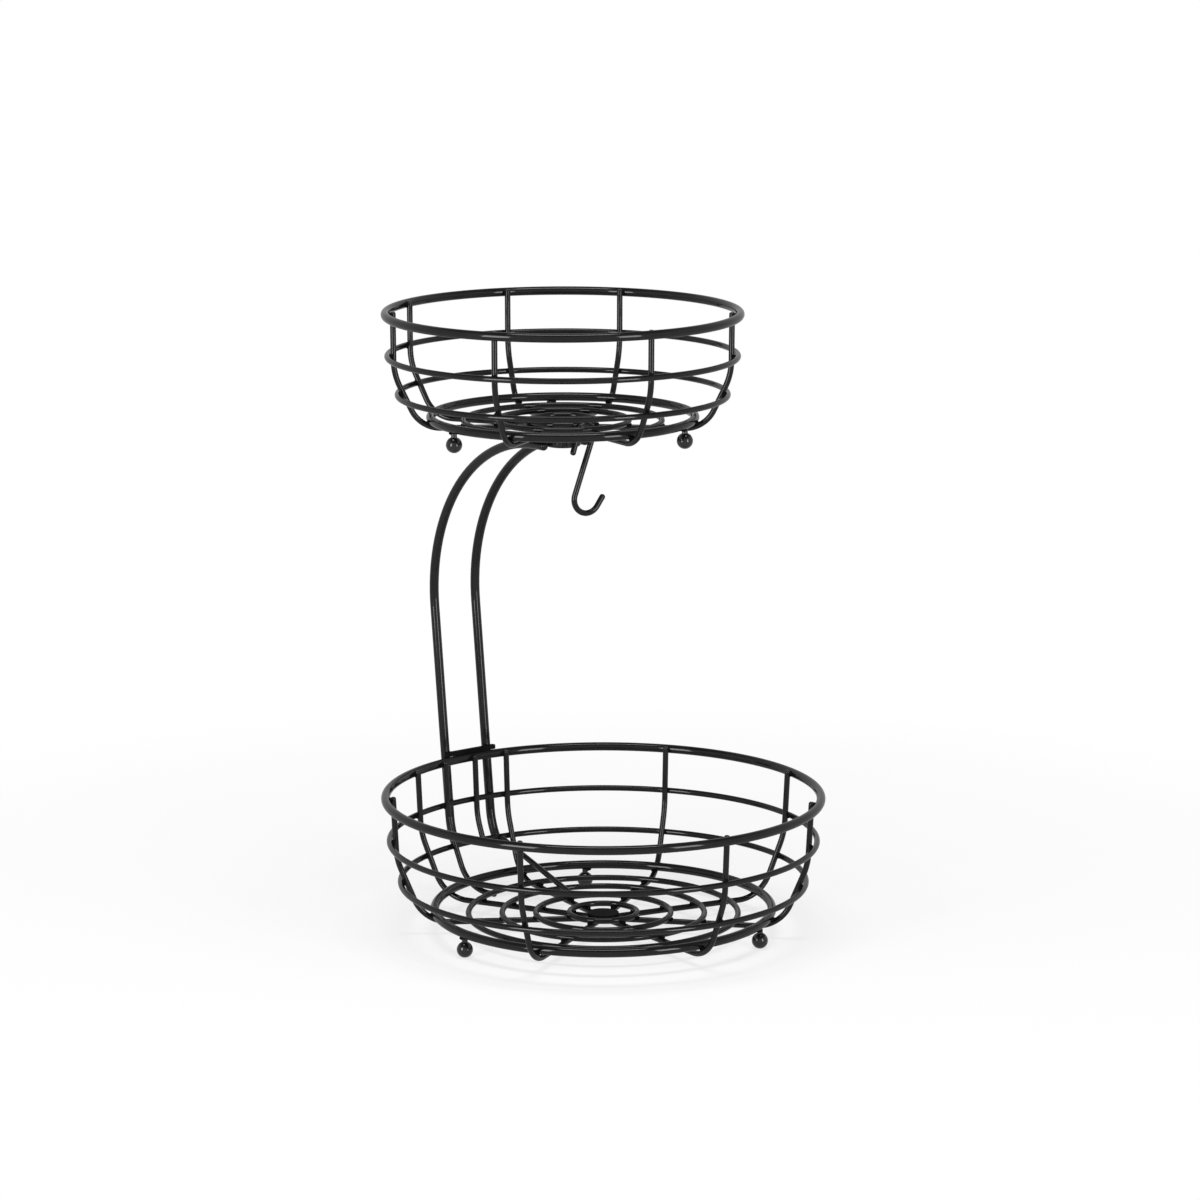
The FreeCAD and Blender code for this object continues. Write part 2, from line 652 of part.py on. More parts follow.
def mounting_plate():
    """The plate on top of both arms, with rounded corners and a hole for the bolt."""
    body = new_body("mounting_plate")
    sketch = new_sketch(body, "mounting_plate_outline", "XY_Plane", step(0, 0, plate_bottom))
    half = rod_side + rod_radius + size("plate_side_lap")
    half_width = "sizes.rod_spacing / 2 + sizes.rod_diameter / 2 + sizes.plate_side_lap"
    front = -size("plate_front")
    back = front + size("plate_length")
    corner = size("plate_corner")
    sides = (
        add_line(sketch, Vector(corner - half, front, 0), Vector(half - corner, front, 0)),
        add_line(sketch, Vector(half, front + corner, 0), Vector(half, back - corner, 0)),
        add_line(sketch, Vector(half - corner, back, 0), Vector(corner - half, back, 0)),
        add_line(sketch, Vector(-half, back - corner, 0), Vector(-half, front + corner, 0)),
    )
    centres = (Vector(half - corner, front + corner, 0), Vector(half - corner, back - corner, 0),
               Vector(corner - half, back - corner, 0), Vector(corner - half, front + corner, 0))
    corners = [add_arc(sketch, centre, corner, 90 * place - 90, 90 * place)
               for place, centre in enumerate(centres)]
    for place, (line, arc) in enumerate(zip(sides, corners)):
        rule(sketch, "Tangent", line, END, arc, START)
        rule(sketch, "Tangent", arc, END, sides[(place + 1) % len(sides)], START)
        rule(sketch, "Vertical" if place % 2 else "Horizontal", line)
        bind(sketch, f"corner_{place}", "sizes.plate_corner", "Radius", arc, corner)
    bind_point(sketch, "front", sides[0], START, None, ("-sizes.plate_front", front))
    bind_point(sketch, "back", sides[2], START, None, ("sizes.plate_length - sizes.plate_front", back))
    bind_point(sketch, "right", sides[1], START, (half_width, half))
    bind_point(sketch, "left", sides[3], START, (f"-({half_width})", -half))
    add_circle(sketch, "hole", HOLE, hole_radius)
    pad(body, sketch, "sizes.plate_thickness")
    body.Placement = upper.placement()


def centre_bolt():
    """A round-headed bolt down through the upper centre disc and the mounting plate."""
    body = new_body("centre_bolt")
    head_bottom = disc_top + gap
    head = new_sketch(body, "centre_bolt_head", "XY_Plane", step(0, 0, head_bottom))
    add_circle(head, "head", "sizes.bolt_head_diameter / 2", size("bolt_head_diameter") / 2)
    pad(body, head, "sizes.bolt_head_height")
    shank = new_sketch(body, "centre_bolt_shank", "XY_Plane", step(0, 0, head_bottom))
    add_circle(shank, "shank", "sizes.bolt_diameter / 2", size("bolt_diameter") / 2)
    shank_pad = body.newObject("PartDesign::Pad", "centre_bolt_shank_pad")
    shank_pad.Profile = shank
    shank_pad.Reversed = True
    shank_pad.setExpression("Length", "worked.disc_top + sizes.weld_gap - worked.plate_bottom"
                                      " + sizes.nut_seat_gap + sizes.bolt_grip")
    doc.recompute()
    high = head_bottom + size("bolt_head_height")
    top_edges = [f"Edge{index}" for index, edge in enumerate(shank_pad.Shape.Edges, start=1)
                 if edge.BoundBox.ZMin > (high + head_bottom) / 2]
    dome = body.newObject("PartDesign::Fillet", "centre_bolt_dome")
    dome.Base = (shank_pad, top_edges)
    dome.setExpression("Radius", "sizes.bolt_head_round")
    body.Placement = upper.placement()


def thumb_nut():
    """A low domed nut for the fingers, fluted round its edge and open only at the top."""
    body = new_body("thumb_nut")
    top = plate_bottom - size("nut_seat_gap")
    outline = new_sketch(body, "thumb_nut_outline", "XY_Plane", step(0, 0, top))
    add_circle(outline, "edge", "worked.nut_radius", nut_radius)
    blank = pad(body, outline, "worked.nut_height")
    blank.Reversed = True
    doc.recompute()
    low_edges = [f"Edge{index}" for index, edge in enumerate(blank.Shape.Edges, start=1)
                 if edge.BoundBox.ZMax < top - nut_height / 2]
    dome = body.newObject("PartDesign::Fillet", "thumb_nut_dome")
    dome.Base = (blank, low_edges)
    dome.setExpression("Radius", "sizes.nut_edge_round")
    bore_sketch = new_sketch(body, "thumb_nut_bore_outline", "XY_Plane", step(0, 0, top))
    add_circle(bore_sketch, "bore", "sizes.bolt_diameter / 2 + sizes.nut_bore_clearance",
               size("bolt_diameter") / 2 + size("nut_bore_clearance"))
    bore = body.newObject("PartDesign::Pocket", "thumb_nut_bore")
    bore.Profile = bore_sketch
    bore.setExpression("Length", "worked.nut_bore_depth")
    flute_sketch = new_sketch(body, "thumb_nut_flute_outline", "XY_Plane", step(0, 0, top))
    flute_out = nut_radius + size("nut_flute_radius") - size("nut_flute_bite")
    flute_circle = add_circle(flute_sketch, "flute", "sizes.nut_flute_radius", size("nut_flute_radius"),
                              Vector(flute_out, 0, 0))
    bind_point(flute_sketch, "flute_centre", flute_circle, CENTRE,
               ("worked.nut_radius + sizes.nut_flute_radius - sizes.nut_flute_bite", flute_out))
    flute = body.newObject("PartDesign::Pocket", "thumb_nut_flute")
    flute.Profile = flute_sketch
    flute.Type = "ThroughAll"
    flutes = body.newObject("PartDesign::PolarPattern", "thumb_nut_flutes")
    flutes.Originals = [flute]
    flutes.Axis = (flute_sketch, ["N_Axis"])
    flutes.Angle = 360
    flutes.setExpression("Occurrences", "sizes.nut_flute_count")
    body.Tip = flutes
    body.Placement = upper.placement()


def s_hook():
    """An S-hook in a plane square to the rib that it hangs on: a small loop above and a wide bowl below."""
    body = new_body("s_hook")
    path = new_sketch(body, "s_hook_path", "XZ_Plane")
    loop = hook_loop_radius
    bowl = size("hook_bowl_radius")
    tail_turn = 180 - size("hook_tail_lean")
    tail_start = hook_loop + toward(tail_turn) * loop
    tail_end = tail_start + toward(tail_turn + 90) * size("hook_tail_length")
    tip_turn = -size("hook_tip_lean")
    tip_foot = hook_bowl + toward(tip_turn) * bowl
    tip_end = tip_foot + toward(tip_turn + 90) * size("hook_tip_length")
    tip = add_line(path, tip_end, tip_foot)
    lower_arc = add_arc(path, hook_bowl, bowl, hook_lean + 180, tip_turn + 360)
    shaft = add_line(path, hook_bowl + toward(hook_lean + 180) * bowl, hook_loop + toward(hook_lean) * loop)
    upper_arc = add_arc(path, hook_loop, loop, hook_lean, tail_turn)
    tail = add_line(path, tail_start, tail_end)
    rule(path, "Tangent", tip, END, lower_arc, END)
    rule(path, "Tangent", lower_arc, START, shaft, START)
    rule(path, "Tangent", shaft, END, upper_arc, START)
    rule(path, "Tangent", upper_arc, END, tail, START)
    bind(path, "loop", "worked.hook_loop_radius", "Radius", upper_arc, loop)
    bind(path, "bowl", "sizes.hook_bowl_radius", "Radius", lower_arc, bowl)
    bind_point(path, "loop_centre", upper_arc, CENTRE, ("worked.hook_loop_shift", hook_loop.x),
               ("-worked.hook_loop_sag", hook_loop.y))
    bind_point(path, "bowl_centre", lower_arc, CENTRE, ("sizes.hook_bowl_shift", hook_bowl.x),
               ("-sizes.hook_bowl_drop", hook_bowl.y))
    bind(path, "tip_length", "sizes.hook_tip_length", "Distance", tip, size("hook_tip_length"))
    bind(path, "tip_reach", "sizes.hook_tip_length * sin(sizes.hook_tip_lean * 1 deg)", "DistanceX",
         tip, END, tip, START, tip_end.x - tip_foot.x)
    bind(path, "tail_length", "sizes.hook_tail_length", "Distance", tail, size("hook_tail_length"))
    bind(path, "tail_reach", "sizes.hook_tail_length * sin(sizes.hook_tail_lean * 1 deg)", "DistanceX",
         tail, END, tail, START, tail_start.x - tail_end.x)
    start = step(tip_end.x, 0, tip_end.y, Vector(0, 1, 0), size("hook_tip_lean"))
    bent_wire(body, path, "XY_Plane", start, "hook_wire", "hook_end_round_share")
    hung = step(hook_out, 0, upper.floor_height, Vector(0, 0, 1), 90)
    body.Placement = upper.placement(360 * hook_rib_share).multiply(hung)


make_basket(lower)
disc(lower, lower.floor_height + thin / 2 + gap, False)
rib("left_backing_wire", lower, 360 * size("left_backing_turn_share"), "worked.left_backing_end",
    left_backing_end)
short_wire("middle_backing_wire", lower, 90)
straight_wire("right_backing_wire", lower, 360 * size("right_backing_turn_share"))
rod("left_post_rod", -rod_side)
rod("right_post_rod", rod_side)
cross_bar()
mounting_plate()
make_basket(upper)
disc(upper, disc_bottom, True)
centre_bolt()
thumb_nut()
s_hook()
doc.recompute()
round_ends()
doc.recompute()

for item in doc.Objects:
    if "Invalid" in item.State or "Error" in item.State:
        raise RuntimeError(f"{item.Name} failed: {item.State}")
for node in nodes:
    if node.Shape.isNull() or not node.Shape.isValid() or len(node.Shape.Solids) != 1:
        raise RuntimeError(f"{node.Label} is not one valid solid")
os.makedirs("parts", exist_ok=True)
for node in nodes:
    node.Shape.exportStep(f"parts/{node.Label}.step")
print(len(nodes), "nodes written, lower axis at y =", lower_axis, "and upper axis at y =", upper_axis)
print("post lean", post_lean, "degrees, radius of the base rings", lower.base_radius, upper.base_radius)
print("hook", hook_out, "out at a height of", upper.floor_height)
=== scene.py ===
# %% [markdown]
# # Dressing a tiered wire basket
# The object is a fruit stand: a wide wire basket on ball feet, a smaller one above it, a post of
# two bent rods that joins them, and an S-hook under the upper basket. All of it is black steel,
# and nearly all of that is powder coated. The shapes come from a CAD model, so this lesson is
# about what CAD leaves out: the coat, the small welds where wires cross, and the plain studio that
# shows them.

# %% Load the solids
import bpy
import bmesh
import json
import math
import random
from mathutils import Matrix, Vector, noise
from mathutils.bvhtree import BVHTree


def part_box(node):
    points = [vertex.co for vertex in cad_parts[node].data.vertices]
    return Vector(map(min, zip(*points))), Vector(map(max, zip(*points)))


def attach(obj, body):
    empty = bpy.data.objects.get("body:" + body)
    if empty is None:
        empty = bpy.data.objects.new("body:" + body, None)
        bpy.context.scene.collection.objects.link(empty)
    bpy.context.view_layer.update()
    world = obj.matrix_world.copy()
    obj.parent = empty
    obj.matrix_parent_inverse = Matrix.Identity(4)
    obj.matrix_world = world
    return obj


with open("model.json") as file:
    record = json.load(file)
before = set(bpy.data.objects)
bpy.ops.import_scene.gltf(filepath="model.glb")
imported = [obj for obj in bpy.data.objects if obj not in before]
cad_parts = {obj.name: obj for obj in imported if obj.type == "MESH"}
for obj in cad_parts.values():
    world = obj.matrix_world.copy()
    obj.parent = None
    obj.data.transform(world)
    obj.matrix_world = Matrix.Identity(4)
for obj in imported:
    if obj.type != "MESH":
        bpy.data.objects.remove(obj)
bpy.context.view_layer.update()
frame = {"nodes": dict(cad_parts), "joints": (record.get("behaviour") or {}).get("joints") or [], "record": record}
nodes = frame["nodes"]
subparts = frame["record"]["subparts"]

# %% [markdown]
# ## Round wire that looks round
# A wire arrives as a many-sided tube. More sides would make it rounder, but smooth shading gives
# the same look for less: it blends the light from one side to the next. It would also smear the
# edge of a plate or of a cut end. So every face is set smooth, and edges steeper than 35 degrees
# are marked sharp. Nothing moves: only the way light is worked out changes.

# %% Smooth the tubes and keep the edges
SHARP_ANGLE = math.radians(35)


def smooth_sides(mesh):
    mesh.polygons.foreach_set("use_smooth", [True] * len(mesh.polygons))
    mesh.set_sharp_from_angle(angle=SHARP_ANGLE)


for solid in nodes.values():
    smooth_sides(solid.data)
print(sum(len(solid.data.polygons) for solid in nodes.values()), "faces shaded smooth")

# %% [markdown]
# ## A finish made of nodes
# Paint on real steel varies a little from place to place. An image could hold that, but it would
# have to be wrapped round every wire. A noise that fills space needs no wrapping. It is read from
# object coordinates, in metres, so a grain of one millimetre is a scale of about a thousand, and
# it stays with the piece when the piece moves.

# %% Start a finish with a noise
NOISE_DETAIL = 3.0


def new_finish(name):
    """A material, its node tree, its shader, and the place in space that patterns read."""
    finish = bpy.data.materials.new(name)
    finish.use_nodes = True
    tree = finish.node_tree
    shader = next(node for node in tree.nodes if node.type == "BSDF_PRINCIPLED")
    place = tree.nodes.new("ShaderNodeTexCoord").outputs["Object"]
    return finish, tree, shader, place


def grain(tree, place, size):
    """A noise whose blotches are about this many metres across."""
    texture = tree.nodes.new("ShaderNodeTexNoise")
    texture.inputs["Scale"].default_value = 1.0 / size
    texture.inputs["Detail"].default_value = NOISE_DETAIL
    tree.links.new(place, texture.inputs["Vector"])
    return texture.outputs["Fac"]


print("each noise has a detail of", NOISE_DETAIL)

# %% [markdown]
# A noise gives numbers round one half, and most of them lie between 0.3 and 0.7. That band is
# stretched to what a socket needs: two numbers, or the two tones of a colour. The noise itself can
# also be raised as a bump, which tilts the light but leaves the surface where it is.

# %% Put a noise to use
NOISE_BAND = (0.3, 0.7)


def spread(tree, value, low, high, band=NOISE_BAND):
    """Stretches a band of values to run from one number to another."""
    step = tree.nodes.new("ShaderNodeMapRange")
    ends = {"From Min": band[0], "From Max": band[1], "To Min": low, "To Max": high}
    for socket, number in ends.items():
        step.inputs[socket].default_value = number
    tree.links.new(value, step.inputs["Value"])
    return step.outputs["Result"]


def two_tones(tree, value, dark, light):
    """Stretches the noise's band to run from one colour to another."""
    ramp = tree.nodes.new("ShaderNodeValToRGB")
    for end, position, tone in zip(ramp.color_ramp.elements, NOISE_BAND, (dark, light)):
        end.position = position
        end.color = (*tone, 1.0)
    tree.links.new(value, ramp.inputs["Fac"])
    return ramp.outputs["Color"]


def raise_grain(tree, shader, value, height, strength):
    bump = tree.nodes.new("ShaderNodeBump")
    bump.inputs["Distance"].default_value = height
    bump.inputs["Strength"].default_value = strength
    tree.links.new(value, bump.inputs["Height"])
    tree.links.new(bump.outputs["Normal"], shader.inputs["Normal"])


print("noise is stretched from the band", NOISE_BAND)

# %% [markdown]
# ## The powder coat
# Powder is sprayed dry and melted in an oven. It flows into a film with a faint orange peel, a
# little thicker in some places than in others, so it is never one even black. Three noises make
# it: a broad one shifts the tone, a middle one changes how rough the film is, and a fine one
# raises the peel. The melted skin on top is smoother than the film. Making the film itself shiny
# would turn the whole wire grey, so a thin clear coat stands for the skin. It draws a crisp line of
# light along each wire, and the film below has no shine of its own.

# %% Mix the satin coat
COAT_TONES = ((0.0042, 0.0039, 0.0041), (0.0082, 0.0076, 0.0080))
TONE_GRAIN, POLISH_GRAIN, PEEL_GRAIN = 0.018, 0.006, 0.0009
PEEL_HEIGHT, PEEL_STRENGTH = 0.00003, 0.35
FILM_GLOSS = 0.0
SKIN_GLOSS, SKIN_ROUGHNESS = 0.45, 0.08


def vary(tree, shader, place, tones, tone_grain, polish, polish_grain):
    """Lets colour and roughness drift over the surface."""
    tone = two_tones(tree, grain(tree, place, tone_grain), *tones)
    tree.links.new(tone, shader.inputs["Base Color"])
    roughness = spread(tree, grain(tree, place, polish_grain), *polish)
    tree.links.new(roughness, shader.inputs["Roughness"])


def lay_skin(shader, weight, roughness):
    shader.inputs["Specular IOR Level"].default_value = FILM_GLOSS
    shader.inputs["Coat Weight"].default_value = weight
    shader.inputs["Coat Roughness"].default_value = roughness


def powder_coat(name, polish, peel=PEEL_HEIGHT, skin=SKIN_GLOSS):
    finish, tree, shader, place = new_finish(name)
    vary(tree, shader, place, COAT_TONES, TONE_GRAIN, polish, POLISH_GRAIN)
    raise_grain(tree, shader, grain(tree, place, PEEL_GRAIN), peel, PEEL_STRENGTH)
    lay_skin(shader, skin, SKIN_ROUGHNESS)
    return finish


wire_coat = powder_coat("satin powder coat on wire", polish=(0.26, 0.36))
rod_coat = powder_coat("satin powder coat on rod", polish=(0.24, 0.34))
print(wire_coat.name, "and", rod_coat.name, "mixed")

# %% [markdown]
# Flat sheet takes the powder differently: it lies thicker there and sets with a coarser peel. A
# glossy skin would also mirror a whole lamp in a flat face, where a round wire shows a thin line.
# So the discs, the plate and the flat bar get the same black, rougher and with almost no skin.

# %% Mix the coat for flat pieces
FLAT_PIECES = ("lower_centre_disc", "upper_centre_disc", "mounting_plate", "rim_cross_bar")
FAINT_SKIN = 0.04
flat_coat = powder_coat("powder coat on sheet", polish=(0.42, 0.54),
                        peel=0.00006, skin=FAINT_SKIN)
print(flat_coat.name, "mixed for", len(FLAT_PIECES), "pieces")

# %% [markdown]
# ## Gloss on the ball feet
# The small balls under both baskets catch one bright, sharp spot. They are dipped rather than
# powdered, so their paint is smoother than the coat on the wire. A shiny base would pale the whole
# ball, so the spot comes from a heavier and smoother clear coat over a base that stays dark.

# %% Mix the gloss for the feet
FOOT_TONES = ((0.0040, 0.0040, 0.0040), (0.0075, 0.0072, 0.0075))


def gloss_paint(name, tones):
    finish, tree, shader, place = new_finish(name)
    vary(tree, shader, place, tones, tone_grain=0.004, polish=(0.16, 0.24), polish_grain=0.003)
    raise_grain(tree, shader, grain(tree, place, size=0.002), height=0.00003, strength=0.2)
    lay_skin(shader, weight=0.75, roughness=0.03)
    return finish


foot_gloss = gloss_paint("gloss paint on ball feet", FOOT_TONES)
print(foot_gloss.name, "mixed")

# %% [markdown]
# ## Where steel rubs on steel
# The hook swings on a rib, so the coat inside its loop is polished and a trace of steel shows. The
# wear has to sit at one place on the hook. A painted mask could mark that place, but the distance
# from the point that the hook swings on is simpler, and the joint already says where that is.

# %% Measure from the swing point
FADE_START = 0.6
hook_joint = next(joint for joint in frame["joints"] if joint["child"] == "hook")
swing_point = Vector(hook_joint["pos_m"])


def from_point(tree, place, operation, point):
    """Compares every place with one point: SUBTRACT gives the way from it, DISTANCE how far."""
    step = tree.nodes.new("ShaderNodeVectorMath")
    step.operation = operation
    step.inputs[1].default_value = point
    tree.links.new(place, step.inputs[0])
    return step


def near_point(tree, place, point, reach):
    """1 close to a point in space, fading to 0 at this many metres from it."""
    away = from_point(tree, place, "DISTANCE", point).outputs["Value"]
    return spread(tree, away, 1.0, 0.0, band=(reach * FADE_START, reach))


def combine(tree, operation, first, second):
    """One step of arithmetic on two values, such as MULTIPLY or MAXIMUM."""
    step = tree.nodes.new("ShaderNodeMath")
    step.operation = operation
    tree.links.new(first, step.inputs[0])
    tree.links.new(second, step.inputs[1])
    return step.outputs["Value"]


print("hook swings on", tuple(swing_point))

# %% [markdown]
# Close to that point the tone is lifted and the film made smoother. A clean round patch would look
# drawn, so a noise breaks it up: wear is the nearness times the noise.

# %% Mix the worn coat for the hook
WEAR_REACH = 0.0058
WEAR_GRAIN, WEAR_SHARES = 0.0012, (0.1, 1.0)
HOOK_TONE_GRAIN = 0.012
BARE_TONE = (0.060, 0.058, 0.056, 1.0)
WORN_POLISH = (0.30, 0.20)


def worn_coat(name, point, reach):
    finish, tree, shader, place = new_finish(name)
    patches = spread(tree, grain(tree, place, WEAR_GRAIN), *WEAR_SHARES)
    rubbed = combine(tree, "MULTIPLY", near_point(tree, place, point, reach), patches)
    tone = tree.nodes.new("ShaderNodeMix")
    tone.data_type = "RGBA"
    tone.inputs["B"].default_value = BARE_TONE
    coat = two_tones(tree, grain(tree, place, HOOK_TONE_GRAIN), *COAT_TONES)
    tree.links.new(rubbed, tone.inputs["Factor"])
    tree.links.new(coat, tone.inputs["A"])
    tree.links.new(tone.outputs["Result"], shader.inputs["Base Color"])
    roughness = spread(tree, rubbed, *WORN_POLISH, band=(0.0, 1.0))
    tree.links.new(roughness, shader.inputs["Roughness"])
    raise_grain(tree, shader, grain(tree, place, PEEL_GRAIN), PEEL_HEIGHT, strength=0.3)
    lay_skin(shader, SKIN_GLOSS, SKIN_ROUGHNESS)
    return finish


hook_coat = worn_coat("powder coat worn at the hook's loop", swing_point, WEAR_REACH)
print(hook_coat.name, "mixed, worn up to", WEAR_REACH, "m from the swing point")

# %% [markdown]
# ## Bolt and thumb nut
# The bolt and the low nut under the plate are turned steel, blackened rather than coated. The black
# is thin enough to show the fine rings that the tool left. They are finer than the faces of the
# mesh, so they aren't modelled: a wave that runs round the bolt is raised as a bump.

# %% Mix the blackened steel
STEEL_TONES = ((0.006, 0.006, 0.0065), (0.012, 0.0114, 0.0114))
STEEL_GLOSS = 0.18
WAVE_PERIOD = 0.314  # metres from ring to ring where the wave's scale is 1
RING_WIDTH, RING_WAVER = 0.0004, 0.6
nut_low, nut_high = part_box("thumb_nut")
nut_axis = (nut_low + nut_high) / 2


def blackened_steel(name, ring_width):
    finish, tree, shader, place = new_finish(name)
    centred = from_point(tree, place, "SUBTRACT", nut_axis).outputs["Vector"]
    turning = tree.nodes.new("ShaderNodeTexWave")
    turning.wave_type = "RINGS"
    turning.rings_direction = "Z"
    turning.inputs["Scale"].default_value = WAVE_PERIOD / ring_width
    turning.inputs["Distortion"].default_value = RING_WAVER
    tree.links.new(centred, turning.inputs["Vector"])
    vary(tree, shader, place, STEEL_TONES,
         tone_grain=0.004, polish=(0.32, 0.44), polish_grain=0.002)
    raise_grain(tree, shader, turning.outputs["Fac"], height=0.00002, strength=0.4)
    shader.inputs["Specular IOR Level"].default_value = STEEL_GLOSS
    return finish


turned_black = blackened_steel("blackened turned steel", RING_WIDTH)
print(turned_black.name, "mixed round the bolt at", tuple(nut_axis))

# %% [markdown]
# ## Paint every piece
# The record names a material slot for each solid. A short table from slot to finish is easier to
# read and to change than one line for each of the many wires. Only the flat pieces differ from the
# wires and rods of their slot.

# %% Give each solid its finish
FINISHES = {
    "lower_basket": wire_coat,
    "upper_basket": wire_coat,
    "post": rod_coat,
    "feet": foot_gloss,
    "bolt": turned_black,
    "nut": turned_black,
    "hook": hook_coat,
}


def paint(piece, finish):
    piece.data.materials.clear()
    piece.data.materials.append(finish)


for subpart in subparts:
    flat = subpart["node"] in FLAT_PIECES
    finish = flat_coat if flat else FINISHES[subpart["material_slot"]]
    paint(nodes[subpart["node"]], finish)
print("finishes on", len(subparts), "solids")

# %% [markdown]
# ## Find the welds
# Where two wires cross, they are pressed together and melted by a current, which leaves a small
# bead in the corner between them. The places could be typed in one by one, but the list would be
# long, and wrong after any change to the solids. So they are measured. Every ring lies flat, and
# its box is enough to give its middle, its radius and the thickness of its wire.

# %% Measure the rings


def measure_ring(name):
    """The middle, centre-line radius and wire radius of a ring that lies flat."""
    low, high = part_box(name)
    wire = (high.z - low.z) / 2
    return (low + high) / 2, (high.x - low.x) / 2 - wire, wire


def is_ring(name):
    return name.endswith(("_rim", "_hoop", "_ring")) or "_inner_ring_" in name


rings = {name: measure_ring(name) for name in nodes if is_ring(name)}
widest = max(radius for middle, radius, wire in rings.values())
print(len(rings), "rings measured, the widest", widest, "m in radius")

# %% [markdown]
# To find a crossing, walk round a ring's centre line, ask a search tree for the nearest point of
# the other wire, and keep the closest one. A coarse walk of 180 steps finds the right
# neighbourhood, and three finer walks around the best step close in on the crossing. The solids
# stop just short of each other, so a gap of less than 0.8 mm counts as a weld.

# %% Search along a ring
WELD_GAP = 0.0008
COARSE_STEPS, FINER_WALKS, FINER_STEPS = 180, 3, 10


def search_tree(solid):
    return BVHTree.FromPolygons([vertex.co for vertex in solid.data.vertices],
                                [face.vertices for face in solid.data.polygons])


def on_ring(ring, angle):
    middle, radius, _ = ring
    return middle + Vector((math.cos(angle), math.sin(angle), 0.0)) * radius


def crossing(ring, tree):
    """The angle on the ring and the wire's nearest point, or None where they don't touch."""
    def how_far(turn):
        return tree.find_nearest(on_ring(ring, turn))[3]

    step = math.tau / COARSE_STEPS
    angle = min([place * step for place in range(COARSE_STEPS)], key=how_far)
    for _ in range(FINER_WALKS):
        shares = range(-FINER_STEPS, FINER_STEPS + 1)
        angle = min([angle + step * share / FINER_STEPS for share in shares], key=how_far)
        step = step / FINER_STEPS
    spot, _, _, distance = tree.find_nearest(on_ring(ring, angle))
    return (angle, spot) if distance - ring[2] < WELD_GAP else None


print("a gap under", WELD_GAP, "m counts as a weld")

# %% [markdown]
# Every rib, backing wire, rod and foot is tried against every ring. A bead has to lie the right
# way, so two directions are kept with its place: along the ring, and from the ring through to the
# other wire.

# %% Find where each wire crosses each ring
CROSSING_BEAD = (0.0024, 0.0022, 0.0014)


def is_welded_on(name):
    return "_rib_" in name or "_foot_" in name or name.endswith(("_wire", "_rod"))


welds = {"lower_basket": [], "upper_basket": [], "post": []}
slot_of = {subpart["node"]: subpart["material_slot"] for subpart in subparts}
for wire_name in filter(is_welded_on, nodes):
    tree = search_tree(nodes[wire_name])
    for ring_name, ring in rings.items():
        met = crossing(ring, tree)
        if met:
            angle, spot = met
            along = Vector((-math.sin(angle), math.cos(angle), 0.0))
            through = (spot - on_ring(ring, angle)).normalized()
            slot = "post" if wire_name.endswith("_rod") else slot_of[ring_name]
            welds[slot].append((spot, along, through, CROSSING_BEAD))
print({slot: len(found) for slot, found in welds.items()}, "welds found")

# %% [markdown]
# The flat bar behind the lower rim lies across both rods, so its welds aren't on a ring. Each rod
# gets a short upright bead on either side, in the corner where it meets the back of the bar.

# %% Find the bar's welds
CORNER_BEAD = (0.0016, 0.0013, 0.0009)
CORNER_SHARES = ((0.8, 0.2), (0.2, 0.8))
UPWARD, BACKWARD = Vector((0.0, 0.0, 1.0)), Vector((0.0, 1.0, 0.0))
bar_low, bar_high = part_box("rim_cross_bar")
bar_middle = (bar_low + bar_high) / 2
for rod_name in ("left_post_rod", "right_post_rod"):
    rod_low, rod_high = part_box(rod_name)
    for left, right in CORNER_SHARES:
        spot = Vector((rod_low.x * left + rod_high.x * right, bar_high.y, bar_middle.z))
        welds["post"].append((spot, UPWARD, BACKWARD, CORNER_BEAD))
print(len(welds["post"]), "welds on the post")

# %% [markdown]
# ## Build the beads
# A bead is a squashed ball: wide along both wires, thin through them, and a little uneven. A ball
# of latitude rings would bunch its faces at two poles, so each bead starts as an icosphere, which
# has even triangles, and a noise pushes its points in and out.

# %% Shape one bead
ROUNDNESS = 3
UNEVENNESS, LUMPS = 0.16, 1.7
NOISE_ROOM, LUCK_SEED = 50, 7
bead_luck = random.Random(LUCK_SEED)


def add_bead(mesh, spot, along, across, through, half_sizes):
    """Adds an uneven squashed ball at a spot, with three half sizes along three directions."""
    made = bmesh.ops.create_icosphere(mesh, subdivisions=ROUNDNESS, radius=1.0)
    seed = Vector([bead_luck.uniform(0, NOISE_ROOM) for axis in range(3)])
    for point in made["verts"]:
        swell = 1.0 + UNEVENNESS * noise.noise(point.co * LUMPS + seed)
        a, b, c = (part * half * swell for part, half in zip(point.co, half_sizes))
        point.co = spot + along * a + across * b + through * c


print("beads swell by up to", UNEVENNESS, "of their size")

# %% [markdown]
# The beads of each basket, and those of the post, go into one mesh, because over a hundred loose
# objects would be slow to handle. They ride on the same body as the wires that they join, and get
# a rougher powder coat, since the melted steel below it is never smooth.

# %% Make one bead at each weld
BEAD_SIZES = (0.92, 1.12)
bead_coat = powder_coat("powder coat on weld beads", polish=(0.40, 0.54),
                        peel=0.00012, skin=FAINT_SKIN)


def show(name, data):
    """Puts a mesh, a lamp or a camera into the scene as an object."""
    thing = bpy.data.objects.new(name, data)
    bpy.context.scene.collection.objects.link(thing)
    return thing


def beads_for(name, found, finish):
    mesh = bmesh.new()
    for spot, along, through, half_sizes in found:
        size = bead_luck.uniform(*BEAD_SIZES)
        half_sizes = [half * size for half in half_sizes]
        add_bead(mesh, spot, along, along.cross(through), through, half_sizes)
    data = bpy.data.meshes.new(name)
    mesh.to_mesh(data)
    mesh.free()
    smooth_sides(data)
    beads = show(name, data)
    paint(beads, finish)
    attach(beads, "frame")
    return beads


